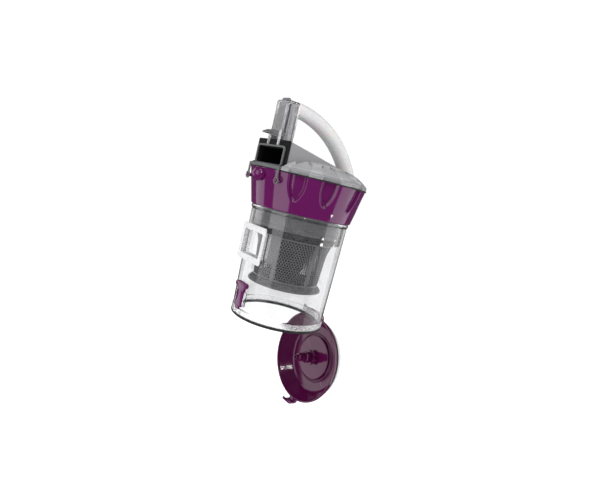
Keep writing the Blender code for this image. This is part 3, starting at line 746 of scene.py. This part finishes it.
def make_screen():
    """Cone with staggered round holes in six panels; the front one is blank behind the inlet."""
    bm = bmesh.new()

    def point(angle, z):
        r = screen_radius(z)
        return bm.verts.new((r * math.cos(angle), r * math.sin(angle), z))

    angles = []
    for panel in range(PANELS):
        middle = math.radians(-90 + 360 / PANELS * panel)
        half = math.pi / PANELS - RIB_HALF
        steps = PANEL_COLUMNS * 2
        angles += [middle - half + 2 * half * k / steps for k in range(steps)]
        angles += [middle + half + RIB_HALF * k for k in range(2)]
    per_panel = PANEL_COLUMNS * 2 + 2
    low, high = SCREEN_HOLES_Z
    heights = [SCREEN[0][1], 63.2] + [low + (high - low) * k / SCREEN_ROWS for k in range(SCREEN_ROWS + 1)]
    heights += [126.0, 127.6, 130.0, 133.0]
    grid = [[point(a, z) for a in angles] for z in heights]
    count = len(angles)
    for row in range(len(heights) - 1):
        lower, upper = grid[row], grid[row + 1]
        mid_z = (heights[row] + heights[row + 1]) / 2
        holed = low < mid_z < high
        k = 0
        while k < count:
            panel, step = divmod(k, per_panel)
            offset = row % 2
            inside = offset <= step <= PANEL_COLUMNS * 2 - 2 and (step - offset) % 2 == 0
            blank = panel == 0 and mid_z > 86.0
            if holed and inside and not blank:
                ring = [lower[k], lower[(k + 1) % count], lower[(k + 2) % count],
                        upper[(k + 2) % count], upper[(k + 1) % count], upper[k]]
                holed_cell(bm, ring, angles[k + 1], mid_z)
                k += 2
            else:
                bm.faces.new((lower[k], lower[(k + 1) % count], upper[(k + 1) % count], upper[k]))
                k += 1
    obj = piece("perforated_screen", bm, SCREEN_GREY, "upper", ("shroud_screen",), sharp=30)
    obj.data.materials.append(VOID)
    wall = obj.modifiers.new("wall", "SOLIDIFY")
    wall.thickness = 0.0012
    wall.offset = -1.0
    wall.material_offset = 1
    wall.material_offset_rim = 1


def holed_cell(bm, ring, angle, z):
    """Fill the ring of one cell around a round hole of 12 sides."""
    centre_r = screen_radius(z)
    around = Vector((-math.sin(angle), math.cos(angle), 0))
    slope = (screen_radius(z + 0.5) - screen_radius(z - 0.5))
    up = Vector((math.cos(angle) * slope, math.sin(angle) * slope, 1)).normalized()
    centre = Vector((centre_r * math.cos(angle), centre_r * math.sin(angle), z))
    bearings = []
    for v in ring:
        away = v.co - centre
        bearings.append(math.atan2(away.dot(up), away.dot(around)))
    hole = []
    for k, bearing in enumerate(bearings):
        following = bearings[(k + 1) % len(bearings)]
        gap = (following - bearing) % math.tau
        for part in (0.0, 0.5):
            turn = bearing + gap * part
            out = around * math.cos(turn) + up * math.sin(turn)
            hole.append(bm.verts.new(centre + out * HOLE_R))
    sides = len(ring)
    for k in range(sides):
        a, b = ring[k], ring[(k + 1) % sides]
        h0, h1, h2 = hole[2 * k], hole[2 * k + 1], hole[(2 * k + 2) % (2 * sides)]
        bm.faces.new((a, h1, h0))
        bm.faces.new((a, b, h1))
        bm.faces.new((b, h2, h1))


def make_cyclone():
    ring = fillet([(58.2, 131.2), (65.2, 131.2), (65.2, 137.2), (68.1, 137.2), (68.2, 142.0), (67.7, 142.8),
                   (67.7, 143.8), (68.2, 144.6), (68.5, 188.2), (66.2, 188.2), (65.8, 139.4), (63.2, 138.2),
                   (63.2, 133.4), (58.2, 133.4)], 0.5)
    piece("shroud_collar_ring", spun(ring, 240), GREY, "upper", ("shroud_ring",))
    lip = fillet([(59.0, 127.9), (65.6, 127.9), (67.6, 129.0), (68.3, 131.0), (67.2, 132.6), (67.4, 134.8),
                  (68.3, 135.9), (68.3, 136.9), (65.5, 136.9), (65.5, 130.9), (59.0, 130.9)], 0.8)
    piece("shroud_lip", spun(lip, 240), GLOSS_BLACK, "upper", ("shroud_lip_seal",))
    skirt = fillet([(13.0, 53.2), (55.2, 53.2), (56.2, 54.2), (55.4, 56.0), (52.0, 58.8), (49.9, 60.4),
                    (49.2, 61.6), (47.6, 61.6), (47.6, 55.2), (13.0, 55.2)], 0.8)
    piece("shroud_foot_skirt", spun(skirt, 240), GREY, "upper", ("shroud_skirt",))


# ---------------------------------------------------------------- the clear bin

HINGE_Y, HINGE_Z = 75.0, (LID_HINGE["pos_m"][2] - RIM_Z) / MM
FLANGE_TOP_Z, BIN_TOP_Z = 13.0, 186.0
BIN_BOTTOM_R = 69.0
BIN_TAPER = 3.0 / 150.0
INLET_Z = 108.75


def bin_radius(z):
    """Outside radius of the tapering wall, from the flange to the collar."""
    return BIN_BOTTOM_R + BIN_TAPER * (z - FLANGE_TOP_Z)


def hinge_hole():
    """Cutter for the hinge pin's hole, through the bin's ears and the lid's knuckle."""
    return rod((-20, HINGE_Y, HINGE_Z), (20, HINGE_Y, HINGE_Z), 1.9, 24)


def make_bin():
    top_r = bin_radius(BIN_TOP_Z)
    profile = [(66.0, 4.0), (70.0, 4.0), (70.0, 11.0), (BIN_BOTTOM_R, FLANGE_TOP_Z),
               (bin_radius(157), 157.0), (73.2, 158.4), (73.2, 160.8), (bin_radius(162.2), 162.2),
               (top_r, BIN_TOP_Z), (top_r - WALL, BIN_TOP_Z), (BIN_BOTTOM_R - WALL, FLANGE_TOP_Z),
               (66.0, 9.0)]
    shell = spun(fillet(profile, [0.6, 1.0, 1.6, 1.0, 1.2, 0.9, 0.9, 1.0, 0.5, 0.5, 1.5, 1.0], 5), 240)
    shell = boolean(shell, block((-25.8, 25.8), (-90, -40), (90.0, 127.5), 1.2))
    for side in (-1, 1):
        outline = [(67.4, 6.0), (70.9, 4.3), (70.9, 2.4), (HINGE_Y, 1.6), (78.0, 2.6), (79.4, 5.0),
                   (79.4, 7.4), (77.8, 9.6), (HINGE_Y, 10.4), (67.4, 16.0)]
        ear = soften(prism_x(outline, sorted((side * 14.0, side * 18.5))), 0.5, 2, 40)
        shell = boolean(shell, ear, "UNION")
        rail = block(sorted((side * 9.2, side * 11.2)), (-72.6, -67.2), (18, 39), 0.4, 2)
        shell = boolean(shell, rail, "UNION")
        lug = block(sorted((side * 4.5, side * 7.0)), (-73.2, -68.4), (6, 9), 0.3, 2)
        shell = boolean(shell, lug, "UNION")
    shell = boolean(shell, hinge_hole())
    wall = piece("bin_wall", shell, CLEAR, "bin", ("bin_shell",), sharp=40)
    wall.data.materials.append(CLEAR_RIM)
    for face in wall.data.polygons:
        face.material_index = int(face.center.z < RIM_Z + 12.2 * MM)

    inlet = frame_along_y((29.5, 26.25, 3.0), (23.5, 17.5, 2.0), INLET_Z, (-73.4, -71.8), 0.4)
    piece("inlet_flange", inlet, FROSTED, "bin", ("inlet_frame",))
    duct = frame_along_y((25.5, 18.5, 2.5), (23.5, 16.8, 1.5), INLET_Z, (-71.5, -59.0), 0.4)
    piece("inlet_sleeve", duct, CLEAR_RIM, "bin", ("inlet_duct",))
    seal = fillet([(65.0, 0.0), (69.2, 0.0), (70.0, 0.9), (70.0, 3.7), (65.0, 3.7)], 0.6)
    piece("base_seal_ring", spun(seal, 240), BLACK_RUBBER, "bin", ("base_seal",))


def make_lever():
    """T-headed lever, drawn as one outline with round shoulders and a domed head."""
    stem = [(-8.4, 16.2), (8.4, 16.2), (8.2, 41.0), (9.4, 43.6), (12.4, 44.6), (14.0, 46.4), (14.0, 49.8),
            (12.4, 51.6), (0.0, 52.0), (-12.4, 51.6), (-14.0, 49.8), (-14.0, 46.4), (-12.4, 44.6),
            (-9.4, 43.6), (-8.2, 41.0)]
    outline = fillet(stem, 1.6, 4)
    loops = []
    for inset, depth in ((0.0, -70.4), (0.0, -73.2), (0.5, -73.9), (1.2, -74.2)):
        loop = []
        for x, z in outline:
            toward = Vector((0, 32 if z < 43 else 48)) - Vector((x, z))
            shift = toward.normalized() * inset
            bulge = -1.7 * smooth(42.0, 46.0, z) if depth < -71 else 0.0
            loop.append((x + shift.x, depth + bulge, z + shift.y))
        loops.append(loop)
    lever = loft(loops)
    lever = boolean(lever, block((-1.9, 1.9), (-73.2, -69.0), (22.0, 38.0)))
    lever = boolean(lever, block((-3.8, 3.8), (-73.9, -70.9), (12.4, 17.2), 0.3, 2), "UNION")
    piece("bin_release_lever", lever, PURPLE, "lid_lever", ("release_lever",), sharp=35)


# ---------------------------------------------------------------- the base lid

def make_base_lid():
    place = lid_open()
    profile = [(0.0, -23.0), (33.4, -23.0), (34.4, -26.8), (55.0, -26.8), (58.8, -23.6), (63.6, -15.6),
               (68.6, -8.8), (72.0, -3.8), (72.3, -0.4), (70.0, -0.4), (69.2, -3.4), (66.4, -8.0),
               (61.2, -15.6), (56.6, -22.6), (53.6, -24.8), (41.0, -24.8), (40.2, -23.6), (38.8, -23.6),
               (38.0, -24.8), (36.4, -24.8), (36.0, -21.2), (35.2, -20.9), (0.0, -20.9)]
    rounding = [0, 1.2, 1.2, 2.5, 3, 5, 4, 2, .6, .6, 2, 4, 5, 4, 2.5, .5, .4, .4, .5, .8, .5, .4, 0]
    dish = spun(fillet(profile, rounding, 5), 240)
    arm = soften(prism_x([(68.5, -7.6), (74.0, -7.0), (78.6, -2.0), (79.0, HINGE_Z), (77.8, 9.0),
                          (HINGE_Y, 10.0), (72.2, 9.0), (71.2, HINGE_Z), (72.6, 0.0), (71.6, -2.0),
                          (68.5, -6.0)], (-13.5, 13.5)), 0.5, 2, 30)
    dish = boolean(dish, arm, "UNION")
    dish = boolean(dish, hinge_hole())
    piece("lid_dish", dish, AUBERGINE, "base_lid_swing", ("base_lid",), place, 40)

    post = fillet([(0.0, -20.6), (10.0, -20.6), (9.6, -19.4), (7.4, -19.0), (7.2, -18.0), (9.2, -17.6),
                   (9.2, -2.6), (8.6, -1.8), (7.1, -1.4), (6.8, 11.8), (6.2, 12.5), (3.9, 12.9),
                   (3.5, 18.2), (3.1, 18.6), (2.4, 18.6), (2.2, 18.2), (2.2, 8.0), (0.0, 8.0)], 0.5)
    piece("spindle", spun(post, 64), AUBERGINE, "base_lid_swing", ("vortex_post",), place)
    star = []
    for k in range(96):
        angle = math.tau * k / 96
        star.append((angle, 11.2 + 1.1 * math.cos(6 * angle)))
    loops = []
    for z, scale in ((-17.6, 0.93), (-17.0, 1.0), (-13.2, 1.0), (-12.5, 0.93)):
        loops.append([(r * scale * math.cos(a), r * scale * math.sin(a), z) for a, r in star])
    piece("spindle_star", loft(loops), AUBERGINE, "base_lid_swing", (), place)

    hook = [(-72.6, -2.6), (-72.9, -6.2), (-76.4, -6.2), (-78.8, -3.0), (-78.8, 9.4), (-77.2, 12.7),
            (-73.3, 12.8), (-73.2, 9.8), (-75.4, 9.4), (-76.2, 5.0), (-76.2, -1.6)]
    hook_bm = soften(prism_x(fillet(hook, 0.7, 3), (-8.4, 8.4)), 0.4, 2, 40)
    hook_bm = boolean(hook_bm, block((-4.2, 4.2), (-75.6, -70.0), (9.0, 14.0)))
    piece("catch_hook", hook_bm, PURPLE, "base_lid_swing", ("lid_catch",), place)
    foot = fillet([(47.6, -29.4), (55.4, -29.4), (59.4, -26.8), (62.2, -22.6), (66.2, -15.4), (64.4, -15.4),
                   (59.4, -23.9), (55.4, -27.1), (47.6, -27.1)], [0.8, 1.5, 2, 2, 0.6, 0.6, 2, 1, 0.6])
    piece("foot_band", spun(foot, 180), PALE_RUBBER, "base_lid_swing", ("foot_ring",), place)


# ---------------------------------------------------------------- springs

def make_spring(name, node, centre, coil_radius, wire_radius, turns):
    """A coil over the node's own height, with a mesh of its own."""
    low, high = (corner.z for corner in limits(node))
    per_turn, sides = 32, 12
    loops = []
    for k in range(turns * per_turn + 1):
        share = k / (turns * per_turn)
        angle = math.tau * turns * share
        out = Vector((math.cos(angle), math.sin(angle), 0))
        middle = Vector((*centre, low + wire_radius + (high - low - 2 * wire_radius) * share))
        middle += out * coil_radius
        loops.append([middle + wire_radius * (out * math.cos(a) + Vector((0, 0, math.sin(a))))
                      for a in (math.tau * s / sides for s in range(sides))])
    body = "bin" if node == "lever_spring" else "upper"
    coil = piece(name, loft(loops), STEEL, body, (node,))
    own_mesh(coil)


def make_springs():
    make_spring("latch_coil", "latch_spring", (0, -68.0), 2.4, 0.35, 3)
    make_spring("lever_coil", "lever_spring", (0, -71.6), 0.9, 0.28, 6)


# ---------------------------------------------------------------- CAD nodes that stay

def finish_kept_nodes():
    kept = {"cyclone_cone": VOID, "vortex_finder": VOID, "filter_frame": SILVER_RIM, "filter_foam": FOAM,
            "bin_top_seal": BLACK_RUBBER, "lid_hinge_pin": STEEL}
    kept.update({"frame_screw_" + str(k): STEEL for k in range(1, 5)})
    for name, mat in kept.items():
        node = frame["nodes"][name]
        node.data.materials.clear()
        node.data.materials.append(mat)
        node.data.shade_smooth()
        node.data.set_sharp_from_angle(angle=math.radians(35))


# ---------------------------------------------------------------- studio

CAMERA_AT = Vector((540.7, -424.9, 197.6))
CAMERA_AZIMUTH, CAMERA_ELEVATION, CAMERA_ROLL = math.radians(50.8), 0.131, 0.235
CAMERA_LENS = 27.71


def make_camera():
    side, ahead = math.sin(CAMERA_AZIMUTH), math.cos(CAMERA_AZIMUTH)
    level, rise = math.cos(CAMERA_ELEVATION), math.sin(CAMERA_ELEVATION)
    back = Vector((side * level, -ahead * level, rise))
    right = Vector((ahead, side, 0))
    up = back.cross(right)
    turned_right = right * math.cos(CAMERA_ROLL) + up * math.sin(CAMERA_ROLL)
    turned_up = up * math.cos(CAMERA_ROLL) - right * math.sin(CAMERA_ROLL)
    camera = bpy.data.cameras.new("camera")
    camera.lens = CAMERA_LENS
    camera.sensor_width = 36.0
    obj = bpy.data.objects.new("camera", camera)
    turn = Matrix((turned_right, turned_up, back)).transposed().to_4x4()
    obj.matrix_world = Matrix.Translation(world(CAMERA_AT)) @ turn
    bpy.context.scene.collection.objects.link(obj)
    bpy.context.scene.camera = obj


def softbox(name, azimuth, distance, height, width, tall, power):
    """An area light facing the canister's middle from an azimuth measured from +X."""
    light = bpy.data.lights.new(name, "AREA")
    light.shape = "RECTANGLE"
    light.size, light.size_y = width, tall
    light.energy = power
    obj = bpy.data.objects.new(name, light)
    middle = world((0, 0, 90))
    turn = math.radians(azimuth)
    place = middle + Vector((math.cos(turn) * distance, math.sin(turn) * distance, height))
    obj.location = place
    obj.rotation_euler = (middle + Vector((0, 0, height * 0.3)) - place).to_track_quat("-Z", "Y").to_euler()
    bpy.context.scene.collection.objects.link(obj)


def make_studio():
    floor = bmesh.new()
    bmesh.ops.create_circle(floor, cap_ends=True, segments=96, radius=6000.0)
    look = Look("pale_floor", (0.90, 0.90, 0.90), 0.7, Emission_Color=(1.0, 1.0, 1.0, 1.0),
                Emission_Strength=0.60)
    look.vary_colour(look.noise(3, 3.0), (0.88, 0.88, 0.88), 0.4, 0.7)
    ground = piece("floor", floor, look, None)
    ground.location.z = cad_box[0][2] - RIM_Z - 0.12
    ground.visible_glossy = False
    softbox("strip_left", -86, 1.25, 0.10, 0.90, 2.2, 10)
    softbox("strip_far_left", -146, 1.30, 0.10, 0.70, 2.0, 5.4)
    softbox("window_glint", -25.7, 0.58, 0.546, 0.16, 0.16, 1.3)
    softbox("bank_right", 57, 1.25, 0.10, 1.20, 2.2, 12)
    softbox("overhead", -20, 0.35, 1.35, 1.1, 1.1, 5)

    world_look = bpy.data.worlds.new("pale_studio")
    world_look.use_nodes = True
    nodes, links = world_look.node_tree.nodes, world_look.node_tree.links
    path = nodes.new("ShaderNodeLightPath")

    def background(level):
        node = nodes.new("ShaderNodeBackground")
        node.inputs["Color"].default_value = (1.0, 1.0, 1.0, 1)
        node.inputs["Strength"].default_value = level
        return node.outputs["Background"]

    sky = nodes["Background"].outputs["Background"]
    nodes["Background"].inputs["Color"].default_value = (1.0, 1.0, 1.0, 1)
    nodes["Background"].inputs["Strength"].default_value = 1.02
    for ray, level in (("Is Diffuse Ray", 0.55), ("Is Glossy Ray", 0.07)):
        mix = nodes.new("ShaderNodeMixShader")
        links.new(path.outputs[ray], mix.inputs["Fac"])
        links.new(sky, mix.inputs[1])
        links.new(background(level), mix.inputs[2])
        sky = mix.outputs["Shader"]
    links.new(sky, nodes["World Output"].inputs["Surface"])
    bpy.context.scene.world = world_look
    bpy.context.scene.view_settings.view_transform = "Standard"


make_camera()
make_studio()
make_collar()
make_bin_marks()
make_top_lid()
make_exhaust()
make_handle()
make_column()
make_latch()
make_screen()
make_cyclone()
make_bin()
make_lever()
make_base_lid()
make_springs()
finish_kept_nodes()
